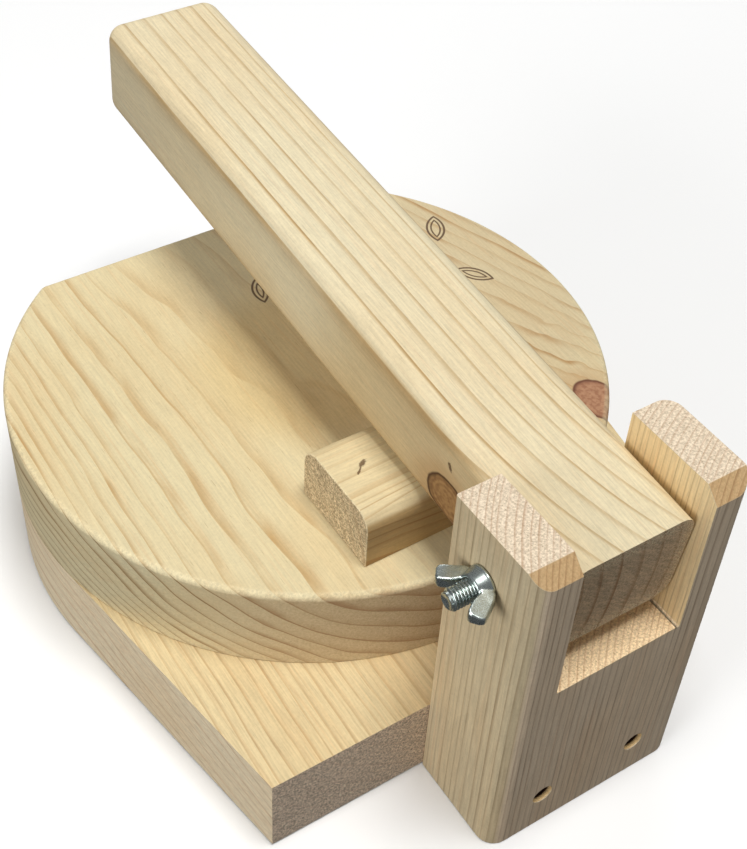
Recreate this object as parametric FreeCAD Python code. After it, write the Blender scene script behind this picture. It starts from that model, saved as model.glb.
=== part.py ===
"""Wooden lever press: a base board, a hinged round plate and a lever held in a forked post.

Frame, millimetres: the origin is the centre of the round plate at table level, +X runs
along the pivot bolt, +Y to the hinged back, +Z up.  The post stands at the front.
"""
import FreeCAD, Part
import math
import os

V = FreeCAD.Vector
X_AXIS = V(1, 0, 0)
Y_AXIS = V(0, 1, 0)
Z_AXIS = V(0, 0, 1)

# Boards
BOARD_T = 40.0          # base board and press plate, cut from one stock
PLATE_R = 127.0         # a 10 inch round
BACK_Y = 101.0          # the flat that both boards share at the hinged side
BASE_FRONT_Y = -148.0
BASE_FRONT_HALF = 104.5
BACK_CORNER_R = 5.0
BASE_EASE = 0.8
PLATE_TOP_EASE = 2.8
PLATE_LOW_EASE = 1.0

# Forked post
FORK_X0 = -37.0
FORK_W = 90.0
FORK_D = 44.0
FORK_H = 157.0
FORK_EDGE_R = 7.5
FORK_BACK_RIGHT_R = 6.5
FORK_BACK_LEFT_R = 1.0
FORK_CHAMFER = 6.0
SLOT_X0 = -19.0
SLOT_W = 55.0
SLOT_FLOOR_Z = 88.5
KERF_W = 0.8              # saw kerf left in the slot's floor
KERF_D = 0.8
KERF_IN = 0.9             # from the right-hand wall

# Pivot
PIVOT_Y = -167.5
PIVOT_Z = 133.3
BOLT_R = 4.0            # M8 bolt
BOLT_PITCH = 1.25
BOLT_STICK_OUT = 15.0
BOLT_THREAD_L = 38.0
BOLT_HEAD_R = 9.8
BOLT_HEAD_H = 4.6
NECK_SIDE = 8.3
NECK_L = 4.5
RUN_FIT = 0.05

# Lever
LEVER_X0 = -18.0
LEVER_W = 53.0
LEVER_H = 44.5
LEVER_L = 333.0
LEVER_TILT = 4.6        # degrees, resting on the block
LEVER_Y0 = -183.1
LEVER_Z0 = 99.5
LEVER_R = 7.5

# Pressure block
BLOCK_X0 = -41.0
BLOCK_L = 99.0
BLOCK_Y0 = -107.0
BLOCK_D = 44.0
BLOCK_H = 26.0
BLOCK_FRONT_R = 8.0
BLOCK_BACK_R = 9.0

# Wing nut
NUT_GAP = 0.2
NUT_BASE_R = 6.9
NUT_TOP_R = 5.4
NUT_H = 5.6
WING_ROOT_T = 8.4       # thick where a wing leaves the hub
WING_TIP_T = 2.8
WING_TURN = 1.0         # degrees, wings against +Y

# Screws through the post
POST_SCREW_DX = 22.0    # each side of the post's middle
POST_SCREW_Z = 19.5
COUNTERBORE_R = 4.4
COUNTERBORE_D = 14.0
POST_SCREW_R = 2.2
POST_SCREW_L = 56.0
POST_HEAD_R = 4.0
POST_HEAD_H = 2.8

# Butt hinges
HINGE_CX = 44.0         # each side of the middle
HINGE_L = 50.0
LEAF_H = 31.0
LEAF_T = 2.0
BARREL_R = 3.7
BARREL_OUT = 4.0        # pin axis behind the back faces
PIN_R = 1.6
KNUCKLES = 5
KNUCKLE_GAP = 0.3
KNUCKLE_CLEAR = 4.3
LEAF_SCREW_R = 1.6
LEAF_SCREW_L = 19.0
LEAF_HEAD_R = 3.2
LEAF_SCREWS = ((-17.0, 14.0), (0.0, 23.0), (17.0, 14.0))

SIDES = {"left": -HINGE_CX, "right": HINGE_CX}


def cylinder(radius, length, start, direction):
    return Part.makeCylinder(radius, length, start, direction)


def box_between(low, high):
    size = high - low
    return Part.makeBox(size.x, size.y, size.z, low)


def turned(points, start, direction):
    """A solid of revolution from (radius, height) points, stood at start along direction."""
    wire = Part.makePolygon([V(r, 0, h) for r, h in points + points[:1]])
    solid = Part.Face(wire).revolve(V(0, 0, 0), Z_AXIS, 360)
    solid.Placement = FreeCAD.Placement(start, FreeCAD.Rotation(Z_AXIS, direction))
    return solid


def edges_where(solid, test):
    return [e for e in solid.Edges if test(e.BoundBox)]


def horizontal_edges(solid, z):
    return edges_where(solid, lambda b: abs(b.ZMin - z) < 0.01 and abs(b.ZMax - z) < 0.01)


def back_corners(solid):
    def test(b):
        return b.ZLength > BOARD_T / 2 and b.XLength < 0.01 and b.YMin > BACK_Y - 0.01
    return edges_where(solid, test)


def ridge_profile(core, crest, start, end, pitch):
    """Heights and radii of thread crests from start to end."""
    count = int((end - start) / pitch)
    points = []
    for i in range(count):
        low = start + i * pitch
        points.append((core, low))
        points.append((crest, low + 0.45 * pitch))
        points.append((crest, low + 0.60 * pitch))
    points.append((core, start + count * pitch))
    return points


def cross_recess(length, width, depth, start, direction):
    bars = [Part.makeBox(length, width, depth, V(-length / 2, -width / 2, -depth)),
            Part.makeBox(width, length, depth, V(-width / 2, -length / 2, -depth))]
    tool = bars[0].fuse(bars[1])
    tool.Placement = FreeCAD.Placement(start, FreeCAD.Rotation(Z_AXIS, direction))
    return tool


# ---- base and plate -----------------------------------------------------------------

def half_chord():
    return math.sqrt(PLATE_R ** 2 - BACK_Y ** 2)


def tangent_point():
    """Where the straight side from the front right corner runs into the round."""
    distance = math.hypot(BASE_FRONT_HALF, BASE_FRONT_Y)
    length = math.sqrt(distance ** 2 - PLATE_R ** 2)
    to_centre = math.atan2(-BASE_FRONT_Y, -BASE_FRONT_HALF)
    angle = to_centre - math.asin(PLATE_R / distance)
    return BASE_FRONT_HALF + length * math.cos(angle), BASE_FRONT_Y + length * math.sin(angle)


def leaf_screw_places(cx, up):
    sign = 1 if up else -1
    return [V(cx + dx, BACK_Y + LEAF_T, BOARD_T + sign * dz) for dx, dz in LEAF_SCREWS]


def drill_leaf_pilots(board, up):
    for cx in SIDES.values():
        for place in leaf_screw_places(cx, up):
            board = board.cut(cylinder(LEAF_SCREW_R + RUN_FIT, LEAF_SCREW_L + 1.0, place, -Y_AXIS))
    return board


def post_screw_places():
    middle = FORK_X0 + FORK_W / 2
    head_y = BASE_FRONT_Y - FORK_D + COUNTERBORE_D - POST_HEAD_H
    return {"left": V(middle - POST_SCREW_DX, head_y, POST_SCREW_Z),
            "right": V(middle + POST_SCREW_DX, head_y, POST_SCREW_Z)}


def base_board():
    tx, ty = tangent_point()
    hc = half_chord()
    right = Part.Arc(V(tx, ty, 0), V(PLATE_R, 0, 0), V(hc, BACK_Y, 0)).toShape()
    left = Part.Arc(V(-hc, BACK_Y, 0), V(-PLATE_R, 0, 0), V(-tx, ty, 0)).toShape()
    front = Part.makePolygon([V(-tx, ty, 0), V(-BASE_FRONT_HALF, BASE_FRONT_Y, 0),
                              V(BASE_FRONT_HALF, BASE_FRONT_Y, 0), V(tx, ty, 0)])
    back = Part.makeLine(V(hc, BACK_Y, 0), V(-hc, BACK_Y, 0))
    wire = Part.Wire(Part.__sortEdges__([right, back, left] + front.Edges))
    board = Part.Face(wire).extrude(V(0, 0, BOARD_T))
    board = board.makeFillet(BACK_CORNER_R, back_corners(board))
    board = board.makeChamfer(BASE_EASE, horizontal_edges(board, 0.0))
    for place in post_screw_places().values():
        start = V(place.x, BASE_FRONT_Y - 1.0, place.z)
        board = board.cut(cylinder(POST_SCREW_R + RUN_FIT, 29.0, start, Y_AXIS))
    return drill_leaf_pilots(board, False)


def press_plate():
    hc = half_chord()
    arc = Part.Arc(V(hc, BACK_Y, BOARD_T), V(0, -PLATE_R, BOARD_T), V(-hc, BACK_Y, BOARD_T)).toShape()
    back = Part.makeLine(V(-hc, BACK_Y, BOARD_T), V(hc, BACK_Y, BOARD_T))
    plate = Part.Face(Part.Wire([arc, back])).extrude(V(0, 0, BOARD_T))
    plate = plate.makeFillet(BACK_CORNER_R, back_corners(plate))
    plate = plate.makeFillet(PLATE_TOP_EASE, horizontal_edges(plate, 2 * BOARD_T))
    plate = plate.makeChamfer(PLATE_LOW_EASE, horizontal_edges(plate, BOARD_T))
    return drill_leaf_pilots(plate, True)


def pressure_block():
    top = 2 * BOARD_T + BLOCK_H
    block = Part.makeBox(BLOCK_L, BLOCK_D, BLOCK_H, V(BLOCK_X0, BLOCK_Y0, 2 * BOARD_T))

    def top_edge(y):
        return edges_where(block, lambda b: b.XLength > 50 and b.ZMin > top - 0.01
                           and abs(b.YMin - y) < 0.01)
    front = top_edge(BLOCK_Y0)
    back = top_edge(BLOCK_Y0 + BLOCK_D)
    block = block.makeFillet(BLOCK_FRONT_R, front)
    back = edges_where(block, lambda b: b.XLength > 50 and b.ZMin > top - 0.01
                       and abs(b.YMin - BLOCK_Y0 - BLOCK_D) < 0.01)
    return block.makeFillet(BLOCK_BACK_R, back)


# ---- post, bolt, nut ----------------------------------------------------------------

def fork_post():
    front_y = BASE_FRONT_Y - FORK_D
    post = Part.makeBox(FORK_W, FORK_D, FORK_H, V(FORK_X0, front_y, 0))
    corners = edges_where(post, lambda b: b.ZLength > 100 and b.YMin < front_y + 0.01
                          and b.YLength < 0.01)
    post = post.makeFillet(FORK_EDGE_R, corners)
    for x, radius in ((FORK_X0, FORK_BACK_LEFT_R), (FORK_X0 + FORK_W, FORK_BACK_RIGHT_R)):
        back = edges_where(post, lambda b: b.ZLength > 100 and b.YMin > BASE_FRONT_Y - 0.01
                           and abs(b.XMin - x) < 0.01 and b.XLength < 0.01)
        post = post.makeFillet(radius, back)
    wedge = Part.makePolygon([V(FORK_X0 - 1, front_y, FORK_H + 1), V(FORK_X0 - 1, front_y - 1, FORK_H + 1),
                              V(FORK_X0 - 1, front_y - 1, FORK_H - FORK_CHAMFER - 1),
                              V(FORK_X0 - 1, front_y + FORK_CHAMFER + 1, FORK_H + 1),
                              V(FORK_X0 - 1, front_y, FORK_H + 1)])
    post = post.cut(Part.Face(wedge).extrude(V(FORK_W + 2, 0, 0)))
    post = post.cut(box_between(V(SLOT_X0, front_y - 1, SLOT_FLOOR_Z),
                                V(SLOT_X0 + SLOT_W, BASE_FRONT_Y + 1, FORK_H + 1)))
    kerf_x = SLOT_X0 + SLOT_W - KERF_IN
    post = post.cut(box_between(V(kerf_x - KERF_W, front_y - 1, SLOT_FLOOR_Z - KERF_D),
                                V(kerf_x, BASE_FRONT_Y + 1, SLOT_FLOOR_Z + 1)))
    post = post.cut(cylinder(BOLT_R + RUN_FIT, FORK_W + 2, V(FORK_X0 - 1, PIVOT_Y, PIVOT_Z), X_AXIS))
    half = NECK_SIDE / 2 + RUN_FIT
    face_x = FORK_X0 + FORK_W
    post = post.cut(box_between(V(face_x - NECK_L - 0.1, PIVOT_Y - half, PIVOT_Z - half),
                                V(face_x + 1, PIVOT_Y + half, PIVOT_Z + half)))
    for place in post_screw_places().values():
        mouth = V(place.x, front_y - 1, place.z)
        post = post.cut(cylinder(COUNTERBORE_R, COUNTERBORE_D + 1, mouth, Y_AXIS))
        post = post.cut(cylinder(POST_SCREW_R + RUN_FIT, FORK_D + 2, mouth, Y_AXIS))
    return post


def pivot_bolt():
    """Carriage bolt: domed head, square neck, plain shank and a threaded end."""
    length = FORK_W + BOLT_STICK_OUT
    core = BOLT_R - 0.61 * BOLT_PITCH
    thread_start = length - BOLT_THREAD_L
    profile = [(0.0, 0.0), (BOLT_R, 0.0), (BOLT_R, thread_start)]
    profile += ridge_profile(core, BOLT_R, thread_start + 0.6, length - 1.0, BOLT_PITCH)
    profile += [(core - 0.3, length), (0.0, length)]
    face_x = FORK_X0 + FORK_W
    shank = turned(profile, V(face_x, PIVOT_Y, PIVOT_Z), -X_AXIS)
    half = NECK_SIDE / 2
    neck = box_between(V(face_x - NECK_L, PIVOT_Y - half, PIVOT_Z - half),
                       V(face_x, PIVOT_Y + half, PIVOT_Z + half))
    ball_r = (BOLT_HEAD_R ** 2 + BOLT_HEAD_H ** 2) / (2 * BOLT_HEAD_H)
    ball = Part.makeSphere(ball_r, V(face_x + BOLT_HEAD_H - ball_r, PIVOT_Y, PIVOT_Z))
    slab = box_between(V(face_x, PIVOT_Y - 20, PIVOT_Z - 20), V(face_x + 10, PIVOT_Y + 20, PIVOT_Z + 20))
    return shank.fuse([neck, ball.common(slab)]).removeSplitter()


def wing(sign):
    """A wing's side outline, thinned evenly from the hub out to the tip."""
    points = [(3.9, 0.9), (7.4, 0.9), (10.2, 4.4), (12.9, 8.4), (13.0, 9.6), (9.6, 12.7), (8.0, 12.4),
              (5.9, 9.6), (4.9, 7.2), (4.3, 4.9)]
    wire = Part.makePolygon([V(sign * s, -WING_ROOT_T / 2, h) for s, h in points + points[:1]])
    blank = Part.Face(wire).extrude(V(0, WING_ROOT_T, 0))
    root, tip = WING_ROOT_T / 2, WING_TIP_T / 2
    outline = [(0.0, root), (4.5, root), (13.2, tip), (13.2, -tip), (4.5, -root), (0.0, -root)]
    wire = Part.makePolygon([V(sign * s, t, 0) for s, t in outline + outline[:1]])
    return blank.common(Part.Face(wire).extrude(V(0, 0, 14.0)))


def wing_nut():
    hub = turned([(0.0, 0.0), (NUT_BASE_R, 0.0), (NUT_BASE_R, 0.9), (NUT_TOP_R, NUT_H - 0.6),
                  (NUT_TOP_R - 0.6, NUT_H), (0.0, NUT_H)], V(0, 0, 0), Z_AXIS)
    nut = hub.fuse([wing(1), wing(-1)]).removeSplitter()
    nut = nut.cut(cylinder(BOLT_R + RUN_FIT, NUT_H + 20, V(0, 0, -1), Z_AXIS))
    spin = FreeCAD.Rotation(X_AXIS, WING_TURN)
    stand = FreeCAD.Rotation(V(0, 1, 0), V(0, 0, -1), V(-1, 0, 0), "ZXY")
    nut.Placement = FreeCAD.Placement(V(FORK_X0 - NUT_GAP, PIVOT_Y, PIVOT_Z), spin.multiply(stand))
    return nut


# ---- lever --------------------------------------------------------------------------

def lever_arm():
    arm = Part.makeBox(LEVER_W, LEVER_L, LEVER_H)
    rounded = edges_where(arm, lambda b: b.YLength > 100 or b.YMin > LEVER_L - 0.01)
    arm = arm.makeFillet(LEVER_R, rounded)
    arm.Placement = FreeCAD.Placement(V(LEVER_X0, LEVER_Y0, LEVER_Z0),
                                      FreeCAD.Rotation(X_AXIS, LEVER_TILT))
    bore = cylinder(BOLT_R + RUN_FIT, LEVER_W + 2, V(LEVER_X0 - 1, PIVOT_Y, PIVOT_Z), X_AXIS)
    return arm.cut(bore)


# ---- screws -------------------------------------------------------------------------

def post_screw(place):
    """Pan head wood screw that holds the post to the base's front face."""
    head = [(0.0, POST_HEAD_H), (0.0, 0.0), (POST_HEAD_R * 0.7, 0.0), (POST_HEAD_R, 0.9),
            (POST_HEAD_R, POST_HEAD_H), (POST_SCREW_R, POST_HEAD_H)]
    core = POST_SCREW_R * 0.72
    thread = ridge_profile(core, POST_SCREW_R, 30.0, POST_SCREW_L - 6.0, 2.2)
    profile = head[1:] + [(POST_SCREW_R, 29.0)] + thread + [(0.0, POST_SCREW_L)]
    screw = turned(profile, place, Y_AXIS)
    return screw.cut(cross_recess(4.2, 1.1, 1.4, place, -Y_AXIS))


def leaf_screw(place):
    """Countersunk wood screw, flush in a hinge leaf."""
    sink = LEAF_HEAD_R - LEAF_SCREW_R
    core = LEAF_SCREW_R * 0.7
    thread = ridge_profile(core, LEAF_SCREW_R, 5.0, LEAF_SCREW_L - 4.0, 1.4)
    profile = [(0.0, 0.0), (LEAF_HEAD_R, 0.0), (LEAF_SCREW_R, sink), (LEAF_SCREW_R, 4.4)]
    profile += thread + [(0.0, LEAF_SCREW_L)]
    screw = turned(profile, place, -Y_AXIS)
    return screw.cut(cross_recess(3.4, 0.9, 1.1, place, Y_AXIS))


# ---- hinges -------------------------------------------------------------------------

def knuckle_spans(cx, own):
    """(start, end) along X of a leaf's own knuckles: the base leaf has the even ones."""
    step = HINGE_L / KNUCKLES
    first = cx - HINGE_L / 2
    return [(first + i * step, first + (i + 1) * step) for i in range(own, KNUCKLES, 2)]


def hinge_leaf(cx, up):
    axis_y = BACK_Y + BARREL_OUT
    z0 = BOARD_T if up else BOARD_T - LEAF_H
    leaf = Part.makeBox(HINGE_L, LEAF_T, LEAF_H, V(cx - HINGE_L / 2, BACK_Y, z0))
    outer = edges_where(leaf, lambda b: b.YLength > 1 and b.XLength < 0.01 and b.ZLength < 0.01
                        and abs(b.ZMin - (z0 + LEAF_H if up else z0)) < 0.01)
    leaf = leaf.makeFillet(3.0, outer)
    own = 1 if up else 0
    for x0, x1 in knuckle_spans(cx, 1 - own):
        leaf = leaf.cut(box_between(V(x0 - KNUCKLE_GAP, BACK_Y - 1, BOARD_T - KNUCKLE_CLEAR),
                                    V(x1 + KNUCKLE_GAP, BACK_Y + 9, BOARD_T + KNUCKLE_CLEAR)))
    trims = KNUCKLE_GAP / 2
    first = cx - HINGE_L / 2
    last = cx + HINGE_L / 2
    for x0, x1 in knuckle_spans(cx, own):
        a = x0 if x0 < first + 0.01 else x0 + trims
        b = x1 if x1 > last - 0.01 else x1 - trims
        leaf = leaf.fuse(cylinder(BARREL_R, b - a, V(a, axis_y, BOARD_T), X_AXIS))
    for x0, x1 in knuckle_spans(cx, own):
        sides = ((x0 - KNUCKLE_GAP, x0 + trims, first), (x1 - trims, x1 + KNUCKLE_GAP, last))
        for low, high, end in sides:
            if low < end < high:
                continue
            leaf = leaf.cut(box_between(V(low, BACK_Y - 1, BOARD_T - KNUCKLE_CLEAR),
                                        V(high, BACK_Y + 9, BOARD_T + KNUCKLE_CLEAR)))
    leaf = leaf.removeSplitter()
    leaf = leaf.cut(cylinder(PIN_R + RUN_FIT, HINGE_L + 2, V(first - 1, axis_y, BOARD_T), X_AXIS))
    for place in leaf_screw_places(cx, up):
        sink = LEAF_HEAD_R - LEAF_SCREW_R
        leaf = leaf.cut(cylinder(LEAF_SCREW_R + RUN_FIT, 6.0, place + Y_AXIS, -Y_AXIS))
        leaf = leaf.cut(Part.makeCone(LEAF_HEAD_R + RUN_FIT, LEAF_SCREW_R + RUN_FIT, sink, place, -Y_AXIS))
    return leaf


def hinge_pin(cx):
    axis_y = BACK_Y + BARREL_OUT
    end = HINGE_L + 0.1
    profile = [(0.0, -1.2), (1.9, -1.2), (2.6, -0.6), (2.6, -0.1), (PIN_R, -0.1),
               (PIN_R, end), (2.6, end), (2.6, end + 0.6), (1.9, end + 1.2), (0.0, end + 1.2)]
    return turned(profile, V(cx - HINGE_L / 2, axis_y, BOARD_T), X_AXIS)


def all_parts():
    parts = {"base_board": base_board(), "press_plate": press_plate(),
             "pressure_block": pressure_block(), "fork_post": fork_post(),
             "lever_arm": lever_arm(), "pivot_bolt": pivot_bolt(), "wing_nut": wing_nut()}
    for side, place in post_screw_places().items():
        parts["post_screw_" + side] = post_screw(place)
    for side, cx in SIDES.items():
        parts["hinge_" + side + "_pin"] = hinge_pin(cx)
        for name, up in (("base", False), ("plate", True)):
            parts["hinge_" + side + "_" + name + "_leaf"] = hinge_leaf(cx, up)
            for i, place in enumerate(leaf_screw_places(cx, up)):
                parts["hinge_%s_%s_screw_%d" % (side, name, i + 1)] = leaf_screw(place)
    return parts


os.makedirs("parts", exist_ok=True)
for node, shape in all_parts().items():
    solids = shape.Solids
    if len(solids) == 1:
        shape = solids[0]
    print(node, len(solids), shape.isValid(), round(shape.Volume, 1))
    shape.exportStep("parts/" + node + ".step")
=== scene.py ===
import math
import random

import bmesh
import bpy
from mathutils import Matrix, Vector


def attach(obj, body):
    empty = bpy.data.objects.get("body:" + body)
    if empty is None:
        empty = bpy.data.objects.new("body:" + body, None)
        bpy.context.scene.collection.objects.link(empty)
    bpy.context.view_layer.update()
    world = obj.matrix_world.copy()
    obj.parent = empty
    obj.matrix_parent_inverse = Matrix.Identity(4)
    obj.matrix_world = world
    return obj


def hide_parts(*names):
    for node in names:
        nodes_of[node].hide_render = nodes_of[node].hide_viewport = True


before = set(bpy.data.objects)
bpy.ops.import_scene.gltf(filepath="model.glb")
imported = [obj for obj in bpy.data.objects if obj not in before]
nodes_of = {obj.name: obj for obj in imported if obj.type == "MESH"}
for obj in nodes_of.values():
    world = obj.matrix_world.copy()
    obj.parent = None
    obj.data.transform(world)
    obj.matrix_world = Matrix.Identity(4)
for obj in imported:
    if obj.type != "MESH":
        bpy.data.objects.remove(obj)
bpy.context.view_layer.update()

MM = 0.001
PER_METRE = 1000.0    # mm, the unit of every shader length
scene = bpy.context.scene

# ------------------------------------------------------------------ camera, fitted to the photo
EYE = (-0.240942, -0.385938, 0.497358)
RIGHT = Vector((0.838153, -0.543514, 0.045749))
DOWN = Vector((-0.357695, -0.611042, -0.706174))
AHEAD = Vector((0.411769, 0.575518, -0.706559))
SENSOR, LENS = 36.0, 61.829    # mm; 1458 px of focal length over the picture's 849
NEAR_CLIP, FAR_CLIP = 0.01, 20.0
cam_data = bpy.data.cameras.new("camera")
camera = bpy.data.objects.new("camera", cam_data)
scene.collection.objects.link(camera)
camera_turn = Matrix((RIGHT, -DOWN, -AHEAD)).transposed().to_4x4()
camera.matrix_world = Matrix.Translation(EYE) @ camera_turn
cam_data.sensor_width = SENSOR
cam_data.lens = LENS
cam_data.clip_start = NEAR_CLIP
cam_data.clip_end = FAR_CLIP
scene.camera = camera

# ------------------------------------------------------------------ light
SKY_COLOUR = (0.95, 0.97, 1.0, 1)
SKY_LOW_Z, SKY_HIGH_Z = -0.25, 0.45
SKY_LOW_STRENGTH, SKY_HIGH_STRENGTH = 0.10, 0.25
PRESS_MIDDLE = (0.0, 0.0, 0.08)
# name, place in m, side in m, power in W, colour
LAMPS = (("key", (0.12, -0.45, 3.1), 1.0, 68.0, (1.0, 0.99, 0.965)),
         ("left_fill", (-1.62, -0.34, 0.66), 0.8, 14.0, (0.985, 0.99, 1.0)),
         ("rear_fill", (1.3, 1.5, 1.0), 1.0, 8.0, (0.98, 0.99, 1.0)))
scene.view_settings.view_transform = "Standard"
scene.view_settings.look = "None"
scene.view_settings.exposure = 0.0
world = bpy.data.worlds.new("studio")
scene.world = world
world.use_nodes = True
sky = world.node_tree
sky_coord = sky.nodes.new("ShaderNodeTexCoord")
sky_split = sky.nodes.new("ShaderNodeSeparateXYZ")
sky_ramp = sky.nodes.new("ShaderNodeMapRange")
sky.links.new(sky_coord.outputs["Generated"], sky_split.inputs[0])
sky.links.new(sky_split.outputs["Z"], sky_ramp.inputs["Value"])
for socket, value in zip(sky_ramp.inputs[1:5],
                         (SKY_LOW_Z, SKY_HIGH_Z, SKY_LOW_STRENGTH, SKY_HIGH_STRENGTH)):
    socket.default_value = value
sky.links.new(sky_ramp.outputs[0], sky.nodes["Background"].inputs["Strength"])
sky.nodes["Background"].inputs["Color"].default_value = SKY_COLOUR


def area_light(name, place, side, power, colour):
    """A square lamp aimed at the middle of the press."""
    data = bpy.data.lights.new(name, "AREA")
    data.shape = "RECTANGLE"
    data.size, data.size_y = side, side
    data.energy = power
    data.color = colour
    lamp = bpy.data.objects.new(name, data)
    scene.collection.objects.link(lamp)
    lamp.location = place
    lamp.rotation_mode = "QUATERNION"
    aim = Vector(PRESS_MIDDLE) - Vector(place)
    lamp.rotation_quaternion = aim.to_track_quat("-Z", "Y")


for lamp_row in LAMPS:
    area_light(*lamp_row)


# ------------------------------------------------------------------ shader helper
class Shader:
    """A node material built from plain expressions: sockets and numbers mix freely."""

    def __init__(self, name):
        self.mat = bpy.data.materials.new(name)
        self.mat.use_nodes = True
        self.tree = self.mat.node_tree
        self.tree.nodes.clear()
        self.out = self.tree.nodes.new("ShaderNodeOutputMaterial")
        self.bsdf = self.tree.nodes.new("ShaderNodeBsdfPrincipled")
        self.tree.links.new(self.bsdf.outputs[0], self.out.inputs["Surface"])
        self.coord = self.tree.nodes.new("ShaderNodeTexCoord")

    def put(self, socket, value):
        if isinstance(value, bpy.types.NodeSocket):
            self.tree.links.new(value, socket)
        elif value is not None:
            if hasattr(socket.default_value, "__len__") and not hasattr(value, "__len__"):
                value = (value,) * len(socket.default_value)
            if hasattr(value, "__len__") and len(socket.default_value) == 4 and len(value) == 3:
                value = (*value, 1.0)
            socket.default_value = value

    def math(self, op, a, b=None, c=None, clamp=False):
        n = self.tree.nodes.new("ShaderNodeMath")
        n.operation = op
        n.use_clamp = clamp
        for socket, value in zip(n.inputs, (a, b, c)):
            self.put(socket, value)
        return n.outputs[0]

    def add(self, *terms):
        total = terms[0]
        for term in terms[1:]:
            total = self.math("ADD", total, term)
        return total

    def sub(self, a, b):
        return self.math("SUBTRACT", a, b)

    def mul(self, a, b):
        return self.math("MULTIPLY", a, b)

    def low(self, a, b):
        return self.math("MINIMUM", a, b)

    def high(self, a, b):
        return self.math("MAXIMUM", a, b)

    def length2(self, a, b):
        return self.math("SQRT", self.add(self.mul(a, a), self.mul(b, b)))

    def vec(self, op, a, b=None, scale=None):
        n = self.tree.nodes.new("ShaderNodeVectorMath")
        n.operation = op
        self.put(n.inputs[0], a)
        if b is not None:
            self.put(n.inputs[1], b)
        if scale is not None:
            self.put(n.inputs["Scale"], scale)
        is_number = op in ("DOT_PRODUCT", "LENGTH", "DISTANCE")
        return n.outputs["Value" if is_number else "Vector"]

    def xyz(self, x, y, z):
        n = self.tree.nodes.new("ShaderNodeCombineXYZ")
        for socket, value in zip(n.inputs, (x, y, z)):
            self.put(socket, value)
        return n.outputs[0]

    def noise(self, vector, detail=2.0, rough=0.5, distortion=0.0):
        n = self.tree.nodes.new("ShaderNodeTexNoise")
        self.put(n.inputs["Vector"], vector)
        self.put(n.inputs["Scale"], 1.0)
        self.put(n.inputs["Detail"], detail)
        self.put(n.inputs["Roughness"], rough)
        self.put(n.inputs["Distortion"], distortion)
        return n.outputs["Fac"]

    def random1(self, w):
        n = self.tree.nodes.new("ShaderNodeTexWhiteNoise")
        n.noise_dimensions = "1D"
        self.put(n.inputs["W"], w)
        return n.outputs["Value"]

    def step(self, value, low, high, to_low=0.0, to_high=1.0):
        """A smooth step from to_low at low to to_high at high."""
        n = self.tree.nodes.new("ShaderNodeMapRange")
        n.interpolation_type = "SMOOTHSTEP"
        for socket, v in zip(n.inputs, (value, low, high, to_low, to_high)):
            self.put(socket, v)
        return n.outputs[0]

    def curve(self, value, points):
        """A broken line through points, whose x and y both run from 0 to 1."""
        n = self.tree.nodes.new("ShaderNodeFloatCurve")
        line = n.mapping.curves[0]
        line.points[0].location = points[0]
        line.points[1].location = points[-1]
        for x, y in points[1:-1]:
            line.points.new(x, y)
        for point in line.points:
            point.handle_type = "VECTOR"
        n.mapping.update()
        self.put(n.inputs["Value"], value)
        return n.outputs[0]

    def mix(self, factor, a, b, mode="MIX"):
        n = self.tree.nodes.new("ShaderNodeMix")
        n.data_type = "RGBA"
        n.blend_type = mode
        n.clamp_factor = True
        self.put(n.inputs[0], factor)
        self.put(n.inputs[6], a)
        self.put(n.inputs[7], b)
        return n.outputs[2]

    def shade(self, colour, level):
        """The colour times a number."""
        return self.mix(1.0, colour, self.xyz(level, level, level), mode="MULTIPLY")

    def attribute(self, name):
        n = self.tree.nodes.new("ShaderNodeAttribute")
        n.attribute_name = name
        return n.outputs["Fac"]

    def bump(self, height, strength, distance):
        n = self.tree.nodes.new("ShaderNodeBump")
        self.put(n.inputs["Strength"], strength)
        self.put(n.inputs["Distance"], distance)
        self.put(n.inputs["Height"], height)
        self.tree.links.new(n.outputs[0], self.bsdf.inputs["Normal"])


def srgb(r, g, b):
    """A screen colour of 0 to 255 as the linear colour that shaders take."""
    def one(c):
        c /= 255.0
        return c / 12.92 if c <= 0.04045 else ((c + 0.055) / 1.055) ** 2.4
    return (one(r), one(g), one(b))


def tint(colour, r, g, b):
    return (min(1.0, colour[0] * r), min(1.0, colour[1] * g), min(1.0, colour[2] * b))


# ------------------------------------------------------------------ wood
# dark brown of the small marks, and of the painted shade line along the post's groove
NICK_AND_SHADE_BROWN = srgb(92, 64, 40)
SCORCH_BROWN = srgb(88, 62, 40)
KNOT_HALO = srgb(190, 144, 92)
# a pale colour for a hole's mouth, and painted shade for its deep inside
BORE_WALL, BORE_PAINTED_SHADE = srgb(244, 208, 150), srgb(58, 30, 12)
EULER = 2.718
KNOT_CURL = 13.0      # mm by which the rings stray near a knot
YEAR_SHIFT = 100.04   # keeps the count of years above zero, with each dark line just before its end
GRAIN_DEPTH = 0.0003  # m of bump


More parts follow.
